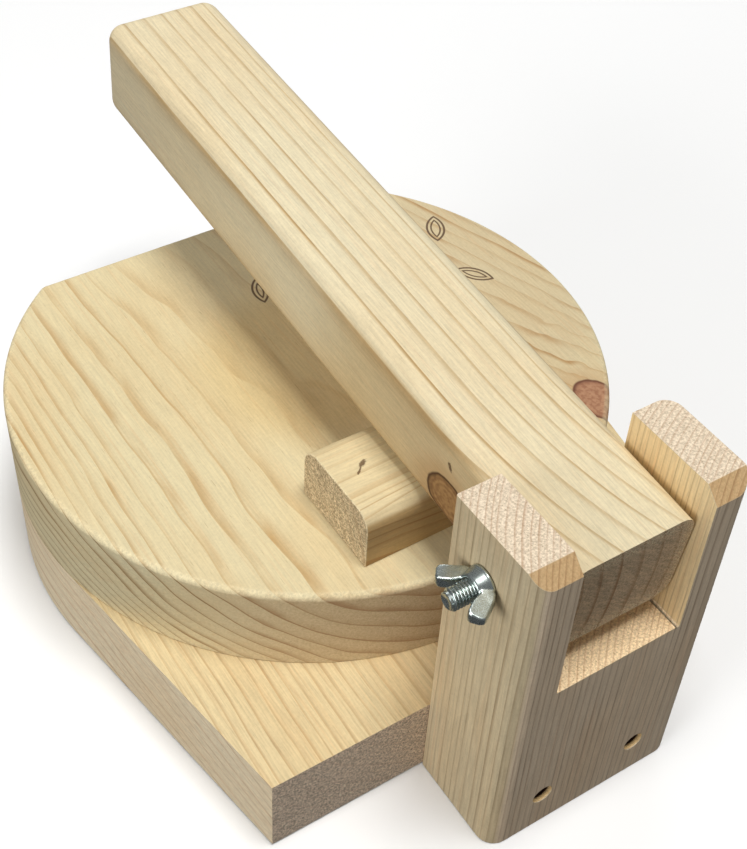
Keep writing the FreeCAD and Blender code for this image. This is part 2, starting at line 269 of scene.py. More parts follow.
def pine(name, origin, along, across, pith, rings, early, late, end, seed,
         lean=(0.0, 0.0, 0.0), taper=(0.0, 0.0), bend=None, wave=(3.0, 0.01, 0.02),
         fine_wave=(0.6, 0.03, 0.06), late_from=0.45, sharp=0.7, contrast=1.0,
         fibre=0.5, pores=0.5, blush=0.4, end_contrast=0.6, end_rough=1.0, knots=(), nicks_and_groove_shade=(),
         motif=None, cell_scale=1.1, calm=0.0, widen=None, bores=(),
         patchy=0.3, fine_line=0.5, side_lines=0.0, painted_face_light=(), fray=0.30, saw=None,
         worn_rim=None, knot_look=(17.0, 0.40, 0.7),
         knot_colours=((186, 140, 106), (148, 98, 70), (108, 64, 44))):
    """Pine cut from a log: growth rings round a pith line, met by whatever surface there is.

    Lengths are in mm and colours are sRGB. The log's own axes are u along the grain, a across it
    and b at right angles to both, from origin.

    pith        the pith line's (a, b) place; lean is its slope: a per u, a per u squared, b per u
    rings       radii of the dark lines; the first and last gaps go on inwards and outwards
    taper       growth of the rings along u, per u and per u squared
    bend        size, reach and power of the rings' curve near u = 0
    wave        amount of the rings' wandering and its rate along and across; fine_wave likewise
    widen       radius past which the rings lie further apart, and how much further
    late_from   where in the year the dark band starts; sharp is how suddenly it darkens
    contrast, patchy, fine_line   strength and evenness of the bands, and of the line that ends them
    calm        radius inside which the bands are faint
    side_lines  extra strength of the bands on upright faces
    fibre, pores, blush    strength of the streaks, the dark pores and the reddish patches
    end_contrast, end_rough, cell_scale   the end grain's bands, roughness and fineness of cells
    saw         direction in degrees and strength of saw marks on the end grain
    worn_rim    half width, middle and half height of an end whose rim is rubbed pale
    knots       place, direction, radius, stretch along the grain, push on the rings, falloff
    knot_look   rate and strength of a knot's rings, strength of its rays
    knot_colours   pale, dark and rim
    nicks       place, direction, half length, half width of each dark mark; on the post one is a painted shade line along a groove
    bores       centre and radius of the holes in the front face, whose insides get painted shade with depth
    tones       painted light and shade on faces turned one way near a centre: normal, tint, centre, reach
    fray        how uneven the fibres leave an edge
    motif       a function that gives the scorched lines
    """
    s = Shader(name)
    u_dir = Vector(along).normalized()
    a_dir = Vector(across).normalized()
    b_dir = u_dir.cross(a_dir)
    point = s.vec("SCALE", s.coord.outputs["Object"], scale=PER_METRE)
    p = s.vec("SUBTRACT", point, origin)
    u = s.vec("DOT_PRODUCT", p, tuple(u_dir))
    a = s.vec("DOT_PRODUCT", p, tuple(a_dir))
    b = s.vec("DOT_PRODUCT", p, tuple(b_dir))

    def wander(freq_u, freq_ab, shift):
        place = s.xyz(s.add(s.mul(u, freq_u), seed + shift), s.mul(a, freq_ab), s.mul(b, freq_ab))
        return s.sub(s.noise(place, detail=1.5), 0.5)

    amount, fu, fab = wave
    da = s.sub(s.add(a, s.mul(wander(fu, fab, 0.0), amount)), pith[0])
    db = s.sub(s.add(b, s.mul(wander(fu, fab, 31.0), amount)), pith[1])
    if lean[0] or lean[1]:
        da = s.sub(da, s.mul(u, s.add(lean[0], s.mul(u, lean[1]))))
    if lean[2]:
        db = s.sub(db, s.mul(u, lean[2]))
    if bend:
        size, reach, power = bend
        near = s.high(s.mul(s.sub(reach, u), 1.0 / reach), 0.0)
        da = s.sub(da, s.mul(s.math("POWER", near, power), size))
    r = s.length2(da, db)
    if taper[0] or taper[1]:
        r = s.add(r, s.mul(u, s.add(taper[0], s.mul(u, taper[1]))))
    amount, fu, fab = fine_wave
    r = s.add(r, s.mul(wander(fu, fab, 57.0), amount))

    if widen:
        past, factor = widen
        wide = s.mul(s.high(s.sub(r, past), 0.0), s.step(da, 0.0, 30.0))
        r = s.sub(r, s.mul(wide, factor))

    # knots: the rings flow round them, and stray near those that push
    knot_mask = knot_ring = None
    for place, direction, radius, stretch, push, swell_rate in knots:
        d_dir = Vector(direction).normalized()
        rel = s.vec("SUBTRACT", point, place)
        flat = s.vec("SUBTRACT", rel, s.vec(
            "SCALE", tuple(d_dir), scale=s.vec("DOT_PRODUCT", rel, tuple(d_dir))))
        lengthwise = s.vec("DOT_PRODUCT", flat, tuple(u_dir))
        along_u = s.vec("SCALE", tuple(u_dir), scale=lengthwise)
        rest = s.vec("LENGTH", s.vec("SUBTRACT", flat, along_u))
        away = s.length2(s.mul(lengthwise, 1.0 / stretch), rest)
        lumps = s.sub(s.noise(s.vec("SCALE", rel, scale=0.10)), 0.5)
        away = s.add(away, s.mul(lumps, radius * 0.26))
        rel_r = s.mul(away, 1.0 / radius)
        swell = s.math("POWER", EULER, s.mul(s.mul(rel_r, rel_r), -swell_rate))
        r = s.add(r, s.mul(swell, push))
        if push:
            unrest = s.math("POWER", EULER, s.mul(s.mul(rel_r, rel_r), -swell_rate * 0.35))
            curl = s.sub(s.noise(s.vec("SCALE", rel, scale=0.055), detail=1.0, distortion=0.6), 0.5)
            r = s.add(r, s.mul(s.mul(unrest, curl), KNOT_CURL))
        inside = s.step(rel_r, 1.06, 0.96)
        knot_mask = inside if knot_mask is None else s.high(knot_mask, inside)
        knot_ring = rel_r if knot_ring is None else s.low(knot_ring, rel_r)

    # radius to years: a whole number at each dark line
    first, last = rings[0], rings[-1]
    gaps = len(rings) - 1
    span = last - first
    inner = s.math("MULTIPLY", s.sub(r, first), 1.0 / span, clamp=True)
    share = [((q - first) / span, i / gaps) for i, q in enumerate(rings)]
    years = s.mul(s.curve(inner, share), gaps)
    years = s.add(years, s.mul(s.high(s.sub(r, last), 0.0), 1.0 / (rings[-1] - rings[-2])))
    years = s.sub(years, s.mul(s.high(s.sub(first, r), 0.0), 1.0 / (rings[1] - rings[0])))
    years = s.add(years, YEAR_SHIFT)
    year = s.math("FLOOR", years)
    season = s.sub(years, year)

    # each year's dark band, and how strong it is from place to place
    luck = s.random1(s.add(year, seed))
    start = s.add(late_from - 0.12, s.mul(luck, 0.24))
    rise = s.math("POWER", s.step(season, start, 0.95), 1.0 + 2.2 * sharp)
    fall = s.step(season, 0.998, 0.965)
    line = s.mul(s.mul(s.step(season, 0.86, 0.955), fall), fine_line)
    place = s.xyz(s.add(s.mul(u, 0.022), seed + 77.0), s.mul(a, 0.06), s.mul(b, 0.06))
    patch = s.noise(place, detail=2.5)
    body = s.mul(s.mul(rise, fall), s.step(patch, 0.38, 0.66, 1.0 - patchy, 1.0))
    normal = s.coord.outputs["Normal"]
    upward = s.math("ABSOLUTE", s.vec("DOT_PRODUCT", normal, (0, 0, 1)))
    side = s.step(upward, 0.75, 0.35, 0.0, side_lines)
    if side_lines:
        body = s.mul(body, s.sub(1.0, s.mul(side, 0.62 / side_lines)))
    strength = s.add(0.62, s.mul(s.random1(s.add(year, seed + 9.3)), 0.5))
    band = s.mul(s.high(line, body), strength)
    place = s.xyz(s.add(s.mul(u, 0.013), seed), s.mul(a, 0.05), s.mul(b, 0.05))
    fade = s.noise(place, detail=2.0)
    band = s.mul(band, s.step(fade, 0.25, 0.75, 0.62, 1.12))
    if calm:
        band = s.mul(band, s.step(r, calm - 6.0, calm + 8.0, 0.35, 1.0))
    band = s.math("MULTIPLY", band, s.mul(s.add(1.0, side), contrast), clamp=True)

    # fibres, pores and slow colour drift
    def streak(freq_u, freq_ab, shift, detail, rough=0.5):
        place = s.xyz(s.mul(u, freq_u), s.mul(a, freq_ab), s.add(s.mul(b, freq_ab), seed + shift))
        return s.noise(place, detail=detail, rough=rough)

    fibre_noise = streak(0.07, 1.25, 0.0, 4.0, 0.68)
    mottle = s.sub(s.noise(s.vec("SCALE", point, scale=0.75), detail=3.0, rough=0.72), 0.5)
    long_noise = streak(0.012, 0.5, 2.0, 2.0)
    pore = s.mul(s.step(streak(0.13, 2.7, 4.0, 1.0), 0.71, 0.80), pores)
    drift = streak(0.010, 0.03, 11.0, 2.0)

    facing = s.vec("DOT_PRODUCT", normal, tuple(u_dir))
    cut = s.step(s.math("ABSOLUTE", facing), 0.50, 0.97)    # 1 on end grain

    late_c = srgb(*late)
    early_c = srgb(*early)
    ground = s.mix(s.step(drift, 0.35, 0.75, 0.0, 0.6), early_c, tint(early_c, 0.97, 0.88, 0.78))
    reddish = s.mul(s.step(long_noise, 0.52, 0.74), blush)
    ground = s.mix(reddish, ground, tint(early_c, 0.97, 0.84, 0.76))
    late_shown = s.mix(side, late_c, tint(late_c, 0.66, 0.62, 0.58)) if side_lines else late_c
    colour = s.mix(band, ground, late_shown)
    streaks = s.mul(s.sub(fibre_noise, 0.5), 0.75 * fibre)
    colour = s.shade(colour, s.add(1.0, streaks, s.mul(mottle, 0.24)))
    colour = s.mix(s.mul(pore, 0.5), colour, tint(late_c, 0.55, 0.5, 0.45))

    # end grain: soft cells, ring lines, small dark dots, saw marks and a rubbed rim
    face = s.xyz(s.mul(a, cell_scale), s.add(s.mul(b, cell_scale), seed), s.mul(u, 0.6))
    cell = s.noise(face, detail=3.0, rough=0.7)
    dots = s.noise(s.vec("SCALE", face, scale=1.15), detail=1.0)
    dots = s.step(dots, 0.60, 0.72, 0.0, 0.55 * end_rough)
    end_c = srgb(*end)
    low_k, high_k = 1.0 - 0.26 * end_rough, 1.0 + 0.20 * end_rough
    end_colour = s.mix(s.step(cell, 0.30, 0.70), tint(end_c, low_k, low_k * 0.95, low_k * 0.89),
                       tint(end_c, high_k, high_k, high_k * 1.01))
    end_band = s.mul(s.math("POWER", band, 0.65), end_contrast)
    end_colour = s.mix(end_band, end_colour, tint(end_c, 0.62, 0.46, 0.37))
    end_colour = s.mix(dots, end_colour, tint(end_c, 0.42, 0.34, 0.27))
    if saw:
        saw_turn, saw_strength = math.radians(saw[0]), saw[1]
        run = s.add(s.mul(a, math.cos(saw_turn)), s.mul(b, math.sin(saw_turn)))
        over = s.sub(s.mul(b, math.cos(saw_turn)), s.mul(a, math.sin(saw_turn)))
        marks = s.noise(s.xyz(s.mul(run, 0.14), s.mul(over, 0.75), seed), detail=3.0, rough=0.7)
        end_colour = s.shade(end_colour, s.add(1.0, s.mul(s.sub(marks, 0.5), saw_strength)))
    if worn_rim:
        half_a, mid_b, half_b = worn_rim
        from_side = s.sub(half_a, s.math("ABSOLUTE", a))
        from_top = s.sub(half_b, s.math("ABSOLUTE", s.sub(b, mid_b)))
        rim = s.step(s.low(from_side, from_top), 9.0, 1.5)
        specks = s.noise(s.vec("SCALE", face, scale=1.3), detail=2.0, rough=0.7)
        specks = s.step(specks, 0.50, 0.60)
        end_colour = s.mix(s.mul(s.mul(rim, specks), 0.75), end_colour, tint(end_c, 1.7, 1.75, 1.9))
    colour = s.mix(cut, colour, end_colour)

    if knots:
        knot_rate, knot_line, knot_ray = knot_look
        rings_in = s.add(0.5, s.mul(s.math("SINE", s.mul(knot_ring, knot_rate)), 0.5))
        ray = s.noise(s.vec("SCALE", p, scale=0.5), detail=3.0)
        pale, deep_c, line_c = (srgb(*c) for c in knot_colours)
        rings_in = s.mul(rings_in, s.step(knot_ring, 0.30, 0.80, 0.35, 1.0))
        core = s.mix(s.mul(rings_in, knot_line), pale, deep_c)
        core = s.mix(s.step(ray, 0.40, 0.66, 0.0, knot_ray), core, deep_c)
        core = s.mix(s.step(knot_ring, 0.80, 0.98), core, line_c)
        colour = s.mix(s.step(knot_ring, 2.1, 1.0, 0.0, 0.42), colour, KNOT_HALO)
        colour = s.mix(knot_mask, colour, core)

    # small dark marks: pin knots and small cuts, and painted shade along a groove
    nick_and_shade_mask = None
    for place, direction, half_length, half_width in nicks_and_groove_shade:
        d_dir = Vector(direction).normalized()
        rel = s.vec("SUBTRACT", point, place)
        ragged = s.sub(s.noise(s.vec("SCALE", point, scale=0.9), detail=2.0), 0.5)
        run = s.vec("DOT_PRODUCT", rel, tuple(d_dir))
        aside = s.vec("LENGTH", s.vec("SUBTRACT", rel, s.vec("SCALE", tuple(d_dir), scale=run)))
        far = s.length2(s.mul(run, 1.0 / half_length), s.mul(aside, 1.0 / half_width))
        far = s.add(far, s.mul(ragged, 1.5))
        spot = s.step(far, 1.15, 0.65)
        nick_and_shade_mask = spot if nick_and_shade_mask is None else s.high(nick_and_shade_mask, spot)
    if nicks_and_groove_shade:
        colour = s.mix(s.mul(nick_and_shade_mask, 0.85), colour, NICK_AND_SHADE_BROWN)

    # inside a hole: a pale wall that goes to painted shade with depth
    for place, radius in bores:
        rel = s.vec("SUBTRACT", point, place)
        rel = s.vec("MULTIPLY", rel, (1.0, 0.0, 1.0))
        in_bore = s.step(s.vec("LENGTH", rel), radius + 0.35, radius + 0.15)
        depth = s.vec("DOT_PRODUCT", s.vec("SUBTRACT", point, place), (0, 1, 0))
        bore_wall_and_shade = s.mix(s.step(depth, 1.7, 2.3), BORE_WALL, BORE_PAINTED_SHADE)
        colour = s.mix(s.mul(in_bore, s.step(depth, 0.25, 0.5)), colour, bore_wall_and_shade)

    # painted light and shade: faces turned one way, near a centre, made lighter or darker
    for direction, shown, centre, reach in painted_face_light:
        facing = s.vec("DOT_PRODUCT", normal, tuple(Vector(direction).normalized()))
        faces_it = s.step(facing, 0.80, 0.95)
        near = s.step(s.vec("DISTANCE", point, centre), reach, reach * 0.55)
        colour = s.mix(s.mul(faces_it, near), colour, (*shown, 1.0), mode="MULTIPLY")

    # relief
    height = s.add(s.mul(band, 0.5), s.mul(fibre_noise, 0.55))
    height = s.sub(height, s.mul(pore, 0.5))
    height = s.add(height, s.mul(s.mul(cut, cell), 1.3))
    if motif:
        burn = motif(s, point)
        colour = s.mix(s.mul(burn, 0.90), colour, SCORCH_BROWN)
        height = s.sub(height, s.mul(burn, 1.2))
    if nicks_and_groove_shade:
        height = s.sub(height, s.mul(nick_and_shade_mask, 1.5))

    # edges: sanded lighter, with open fibres
    edge = s.attribute("edge")
    fuzz = s.noise(s.vec("SCALE", p, scale=0.8), detail=3.0, rough=0.75)
    rub = s.step(s.noise(s.vec("SCALE", p, scale=0.16), detail=2.0), 0.30, 0.65, 0.35, 1.0)
    colour = s.mix(s.mul(s.mul(edge, rub), 0.42), colour, tint(early_c, 1.06, 1.07, 1.10))
    colour = s.shade(colour, s.add(1.0, s.mul(s.mul(edge, s.sub(fuzz, 0.5)), fray)))
    height = s.add(height, s.mul(s.mul(edge, fuzz), 1.0))
    s.put(s.bsdf.inputs["Base Color"], colour)

    rough = s.sub(s.add(0.52, s.mul(fibre_noise, 0.16), s.mul(cut, 0.18)), s.mul(band, 0.08))
    s.put(s.bsdf.inputs["Roughness"], rough)
    s.bsdf.inputs["Specular IOR Level"].default_value = 0.30
    s.bsdf.inputs["IOR"].default_value = 1.45
    s.bump(height, 0.30, GRAIN_DEPTH)
    return s.mat


PLATING_DEPTH = 0.00015    # m of bump


def metal(name, colour, rough, seed, grain=(0.9, 0.9, 0.9), wear=0.3, dull=(0.45, 0.46, 0.45)):
    """Plated steel: slightly uneven plating, fine scuffs and a dulled film."""
    s = Shader(name)
    p = s.vec("SCALE", s.coord.outputs["Object"], scale=PER_METRE)
    blotch = s.noise(s.vec("SCALE", p, scale=0.32), detail=3.0, rough=0.6)
    fine = s.noise(s.vec("ADD", s.vec("MULTIPLY", p, grain), (seed, 0, 0)), detail=3.0, rough=0.65)
    scuff = s.noise(s.vec("MULTIPLY", p, tuple(6.0 * g for g in reversed(grain))), detail=2.0)
    shown = s.mix(s.step(blotch, 0.35, 0.72, 0.0, wear + 0.3), colour, dull)
    s.put(s.bsdf.inputs["Base Color"], s.shade(shown, s.add(0.86, s.mul(fine, 0.28))))
    s.bsdf.inputs["Metallic"].default_value = 1.0
    s.put(s.bsdf.inputs["Roughness"],
          s.add(rough, s.mul(s.step(scuff, 0.45, 0.75), 0.14), s.mul(s.sub(blotch, 0.5), 0.16)))
    s.bump(s.add(fine, s.mul(scuff, 0.5)), 0.10, PLATING_DEPTH)
    return s.mat


# ------------------------------------------------------------------ mesh helpers
NORMAL_WEIGHT = 60     # how far the larger faces outweigh the smaller in a normal
WELD = 2e-6            # m: vertices closer than this are one
FLAT_ANGLE = 0.6       # degrees: faces that meet at less than this are one
SHARP_ANGLE = 32.0     # degrees: edges that turn by more than this are softened
EASE_SEGMENTS = 3


def link(name, mesh, body, replaces, material):
    """A visible piece that rides on a body and stands for a CAD node."""
    obj = bpy.data.objects.new(name, mesh)
    scene.collection.objects.link(obj)
    mesh.materials.clear()
    mesh.materials.append(material)
    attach(obj, body)
    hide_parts(replaces)
    return obj


def smooth(obj, weighted=True):
    for poly in obj.data.polygons:
        poly.use_smooth = True
    if weighted:
        mod = obj.modifiers.new("normals", "WEIGHTED_NORMAL")
        mod.keep_sharp = True
        mod.weight = NORMAL_WEIGHT


def eased_copy(node, name, body, material, width, skip=None):
    """A piece with the CAD node's outline and softened edges; 'edge' marks the softened bands."""
    mesh = nodes_of[node].data.copy()
    mesh.name = name
    bm = bmesh.new()
    bm.from_mesh(mesh)
    bmesh.ops.remove_doubles(bm, verts=bm.verts, dist=WELD)
    bmesh.ops.dissolve_limit(bm, angle_limit=math.radians(FLAT_ANGLE), verts=bm.verts,
                             edges=bm.edges, delimit=set())
    sharp = [e for e in bm.edges
             if e.is_manifold and e.calc_face_angle(0.0) > math.radians(SHARP_ANGLE)
             and not (skip and skip(e))]
    made = bmesh.ops.bevel(bm, geom=sharp, offset=width, offset_type="OFFSET",
                           segments=EASE_SEGMENTS, profile=0.5, affect="EDGES",
                           clamp_overlap=True)
    fresh = set(made["faces"])
    layer = bm.verts.layers.float.new("edge")
    for v in bm.verts:
        if v.link_faces and all(f in fresh for f in v.link_faces):
            v[layer] = 1.0
    bm.normal_update()
    bm.to_mesh(mesh)
    bm.free()
    smooth(link(name, mesh, body, node, material))


def bridge(bm, lower, upper):
    """Quads between two rings of equal length."""
    for i in range(len(lower)):
        j = (i + 1) % len(lower)
        bm.faces.new((lower[i], lower[j], upper[j], upper[i]))


def skin(bm, rings):
    """A skin over a stack of rings."""
    for lower, upper in zip(rings, rings[1:]):
        bridge(bm, lower, upper)


def cap(bm, rings):
    """Closes a skin at its first and last ring."""
    bm.faces.new(rings[0])
    bm.faces.new(rings[-1])


def finished(bm, name):
    """The bmesh as a mesh, its faces turned outwards."""
    bmesh.ops.recalc_face_normals(bm, faces=bm.faces)
    mesh = bpy.data.meshes.new(name)
    bm.to_mesh(mesh)
    bm.free()
    return mesh


QUARTER = math.radians(90.0)
CORNER_STEPS, RIM_STEPS, BACK_STEPS = 8, 240, 40
LOW_STEPS, SIDE_STEPS, TOP_STEPS = 3, 6, 7
TOP_ROUND, LOW_ROUND = 2.8, 0.6    # mm
TOP_MARGIN = 0.9                   # mm from the top's rounded edge to the last ring


def board_disc(node, name, body, material, radius, back_y, corner, low, high):
    """The round board: a D-shaped outline, its top edge sanded round, its lower edge just eased."""
    cy = back_y - corner
    cx = math.sqrt((radius - corner) ** 2 - cy ** 2)
    swing = math.atan2(cy, cx)

    def outline(inset):
        points = []
        rim = radius - inset
        small = corner - inset
        for i in range(CORNER_STEPS + 1):
            t = QUARTER + i / CORNER_STEPS * (math.pi - swing - QUARTER)
            points.append((-cx + small * math.cos(t), cy + small * math.sin(t)))
        sweep = math.pi + 2 * swing
        for i in range(1, RIM_STEPS):
            t = math.pi - swing + i / RIM_STEPS * sweep
            points.append((rim * math.cos(t), rim * math.sin(t)))
        for i in range(CORNER_STEPS + 1):
            t = swing + i / CORNER_STEPS * (QUARTER - swing)
            points.append((cx + small * math.cos(t), cy + small * math.sin(t)))
        edge = back_y - inset
        for i in range(1, BACK_STEPS):
            points.append((cx - 2 * cx * i / BACK_STEPS, edge))
        return points

    # (inset, height, how rubbed the edge is) of each ring, from the bottom up
    rings = [(LOW_ROUND, low, 0.4)]
    for i in range(1, LOW_STEPS + 1):
        t = math.radians(90 * i / LOW_STEPS)
        rings.append((LOW_ROUND * (1 - math.sin(t)), low + LOW_ROUND * (1 - math.cos(t)), 0.6))
    for k in range(1, SIDE_STEPS):
        rings.append((0.0, low + LOW_ROUND + (high - low - LOW_ROUND - TOP_ROUND) * k / SIDE_STEPS,
                      0.0))
    for i in range(TOP_STEPS + 1):
        t = math.radians(90 * i / TOP_STEPS)
        rings.append((TOP_ROUND * (1 - math.cos(t)), high - TOP_ROUND * (1 - math.sin(t)),
                      math.sin(2 * t) ** 0.5))
    rings.append((TOP_ROUND + TOP_MARGIN, high, 0.0))
    bm = bmesh.new()
    layer = bm.verts.layers.float.new("edge")
    loops = []
    for inset, z, rub in rings:
        loop = [bm.verts.new((x * MM, y * MM, z * MM)) for x, y in outline(inset)]
        for v in loop:
            v[layer] = rub
        loops.append(loop)
    skin(bm, loops)
    bm.faces.new(list(reversed(loops[0])))
    bm.faces.new(loops[-1])
    smooth(link(name, finished(bm, name), body, node, material))


# ------------------------------------------------------------------ motif burnt into the plate
PLATE_LOW, PLATE_TOP = 40.0, 80.0    # mm
# x, y, turn in degrees, half length, half width
LEAVES = ((98.3, 48.5, 62.0, 9.0, 4.0), (94.6, 12.0, 128.0, 8.6, 3.6), (4.5, 50.0, 75.0, 8.0, 3.2))
LEAF_MARGIN = 1.9                    # mm from the outer line to the inner


def leaves(s, point):
    """Three plain double-line leaf outlines, a line drawing scorched into the plate's top."""
    split = s.tree.nodes.new("ShaderNodeSeparateXYZ")
    s.put(split.inputs[0], point)
    x, y, z = split.outputs
    total = None
    for cx, cy, angle, half, bulge in LEAVES:
        co, si = math.cos(math.radians(angle)), math.sin(math.radians(angle))
        dx, dy = s.sub(x, cx), s.sub(y, cy)
        run = s.add(s.mul(dx, co), s.mul(dy, si))
        over = s.sub(s.mul(dy, co), s.mul(dx, si))
        arc = (half * half + bulge * bulge) / (2 * bulge)    # radius of each side of the leaf
        over = s.add(s.math("ABSOLUTE", over), arc - bulge)
        depth = s.sub(s.length2(run, over), arc)
        outer = s.step(s.math("ABSOLUTE", depth), 0.66, 0.34)
        inner = s.step(s.math("ABSOLUTE", s.add(depth, LEAF_MARGIN)), 0.52, 0.26)
        both = s.high(outer, inner)
        total = both if total is None else s.high(total, both)
    return s.mul(total, s.step(z, PLATE_TOP - 1.0, PLATE_TOP - 0.4))


# ------------------------------------------------------------------ materials
TILT = math.radians(4.6)    # of the lever at rest
LEVER_DIR = (0.0, math.cos(TILT), math.sin(TILT))


def radii(pith, b, places):
    """Radii of the rings whose dark lines cross a face at height b, at these places."""
    return [math.hypot(a - pith[0], b - pith[1]) for a in places]


def steady(first, gap, count, jitter, seed):
    """Radii of rings that grow at a steady rate, give or take half of jitter."""
    rng = random.Random(seed)
    out = [first]
    for _ in range(count):
        out.append(out[-1] + gap * (1.0 + jitter * (rng.random() - 0.5)))
    return out


mat_plate = pine("pine_plate", (0, 0, 80), (0, 1, 0), (1, 0, 0), (-15.18, -52.37),
                 [26, 36, 45, 54, 62.7, 71.8, 81, 89.5, 96, 102, 107.3, 112.3, 117.2, 121.2,
                  124.8, 128.2, 131.4, 134.8, 138.0, 141.5],
                 (222, 208, 168), (190, 154, 102), (206, 184, 146), 3.1,
                 lean=(-0.137, -0.000128, 0.296), taper=(0.29, -0.000165),
                 wave=(10.0, 0.011, 0.018), fine_wave=(3.4, 0.026, 0.04), late_from=0.45,
                 sharp=0.3, contrast=1.05, fibre=0.62, pores=1.0, end_contrast=0.85,
                 end_rough=0.45, blush=0.45, calm=58.0, widen=(106.0, 0.5), motif=leaves,
                 patchy=0.80, fine_line=0.62, side_lines=1.25, fray=0.95,
                 # painted shade on the plate's top under the lever and on its right part
                 painted_face_light=(((0, 0, 1), (0.95, 0.88, 0.76), (0, 0, 80), 60.0),
                        ((0, 0, 1), (0.90, 0.87, 0.87), (88, 10, 80), 95.0)),
                 knots=(((91.5, -81.0, 80.0), (0, 0, 1), 9.5, 1.35, -10.0, 0.16),))
mat_base = pine("pine_base", (0, 0, 40), (0, 1, 0), (1, 0, 0), (10.0, -70.0),
                steady(40.0, 4.1, 40, 0.5, 5),
                (222, 202, 158), (184, 146, 98), (212, 194, 168), 8.4,
                lean=(0.04, 0.0, 0.02), wave=(7.0, 0.008, 0.015), fine_wave=(0.8, 0.03, 0.05),
                late_from=0.55, sharp=0.8, contrast=0.82, end_contrast=0.25, end_rough=1.7,
                fibre=0.95, saw=(20, 0.4),
                # painted light, slightly cool, on the base's left and front faces
                painted_face_light=(((-0.987, -0.162, 0), (1.26, 1.30, 1.54), (-115, -80, 20), 300.0),
                       ((0, -1, 0), (1.33, 1.33, 1.42), (0, -148, 20), 300.0)))
LEVER_PITH = (-110.0, -22.0)
LEVER_TOP = -44.5    # b of the lever's upper face
LEVER_LINES = [-50, -42, -34.5, -26.3, -18.1, -8.3, -0.1, 7.3, 14.3, 19.7, 24.7, 30]
mat_lever = pine("pine_lever", (8.5, -183.1, 99.5), LEVER_DIR, (1, 0, 0), LEVER_PITH,
                 radii(LEVER_PITH, LEVER_TOP, LEVER_LINES),
                 (223, 210, 176), (182, 150, 100), (218, 192, 157), 5.7,
                 bend=(13.5, 84.0, 2.2), wave=(1.6, 0.006, 0.01), fine_wave=(0.45, 0.03, 0.06),
                 late_from=0.60, sharp=0.8, contrast=1.10, fibre=0.85, pores=0.5, blush=0.3,
                 end_contrast=0.9, saw=(42, 1.0),
                 worn_rim=(26.5, -22.2, 22.2), knot_look=(26.0, 0.55, 0.5),
                 # painted warm shade on the lever's left face near its front end
                 painted_face_light=(((-1, 0, 0), (0.88, 0.80, 0.68), (-18, -130, 112), 120.0),),
                 knots=(((-18.0, -121.5, 118.0), (1, 0, 0), 9.4, 1.30, 0.0, 0.3),),
                 knot_colours=((184, 148, 102), (122, 86, 56), (80, 52, 32)),
                 nicks_and_groove_shade=(((-18.0, -121.0, 134.5), (0, 0.5, 1), 2.2, 1.0),
                        ((-18.0, -20.0, 117.0), (0, 1, 0.1), 3.0, 0.8)))
mat_fork = pine("pine_post", (8, -170, 80), (0, 0, 1), (1, 0, 0), (95.0, -109.0),
                steady(60.0, 2.35, 70, 0.5, 11),
                (212, 194, 158), (150, 124, 92), (224, 208, 184), 12.9,
                lean=(0.01, 0.0, 0.0), wave=(3.0, 0.006, 0.015), fine_wave=(0.5, 0.02, 0.06),
                late_from=0.5, sharp=0.5, contrast=0.72, end_contrast=0.95, fibre=0.85,
                # a painted shade line along the sawn groove in the slot's floor
                nicks_and_groove_shade=(((34.7, -170.0, 88.3), (0, 1, 0), 24.0, 0.45),),
                # a darker golden tone on the ears' front chamfers; painted light on the slot's
                # floor, the post's front, the right ear's inner face and the post's left face
                painted_face_light=(((0, -1, 1), (0.90, 0.73, 0.54), (8, -190, 150), 70.0),
                       ((0, 0, 1), (1.22, 1.13, 0.94), (8.5, -170, 88.5), 60.0),
                       ((0, -1, 0), (1.24, 1.22, 1.38), (8, -192, 70), 300.0),
                       ((-1, 0, 0), (1.36, 1.30, 1.18), (36, -170, 125), 62.0),
                       ((-1, 0, 0), (1.12, 1.12, 1.12), (-37, -170, 15), 120.0)),
                # painted shade deep inside the two screw holes
                bores=tuple(((x, -192.0, 19.5), 4.4) for x in (-14.0, 30.0)))
mat_block = pine("pine_block", (8, -85, 93), (1, 0, 0), (0, 1, 0), (50.0, -30.0),
                 [44, 50, 55, 60.5, 66.3, 73.0, 75.2, 77.0, 78.7, 80.3, 82.0, 83.8, 86.0],
                 (222, 205, 164), (182, 144, 94), (208, 188, 150), 21.3,
                 lean=(0.03, 0.0, 0.0), wave=(3.0, 0.015, 0.02), late_from=0.5, sharp=0.6,
                 contrast=0.85, end_rough=2.0, fibre=0.6, saw=(75, 0.7), cell_scale=1.2,
                 calm=66.0, fray=1.5,
                 # painted shade on the block's front face
                 painted_face_light=(((0, -1, 0), (0.72, 0.60, 0.46), (8, -107, 93), 200.0),),
                 nicks_and_groove_shade=(((-27.4, -82.0, 106.0), (1, 0.8, 0), 2.6, 1.1),
                        ((-30.3, -84.6, 106.0), (1, 0.9, 0), 2.4, 0.5)))
mat_zinc = metal("zinc_plate", (0.54, 0.60, 0.58), 0.26, 2.0, dull=(0.31, 0.355, 0.34))
mat_hinge = metal("hinge_zinc", (0.74, 0.75, 0.76), 0.34, 5.0, grain=(0.6, 3.0, 0.6))
mat_screw = metal("yellow_zinc", (0.72, 0.55, 0.30), 0.36, 9.0, wear=0.35, dull=(0.36, 0.26, 0.14))

# ------------------------------------------------------------------ wooden pieces
EASE, SMALL_PIECE_EASE = 0.5 * MM, 0.6 * MM
KERF_X, KERF_Z = (34.0, 35.4), (87.0, 89.0)    # mm: room round the sawn line in the slot's floor


def in_kerf(edge):
    return all(KERF_X[0] * MM < v.co.x < KERF_X[1] * MM and KERF_Z[0] * MM < v.co.z < KERF_Z[1] * MM
               for v in edge.verts)


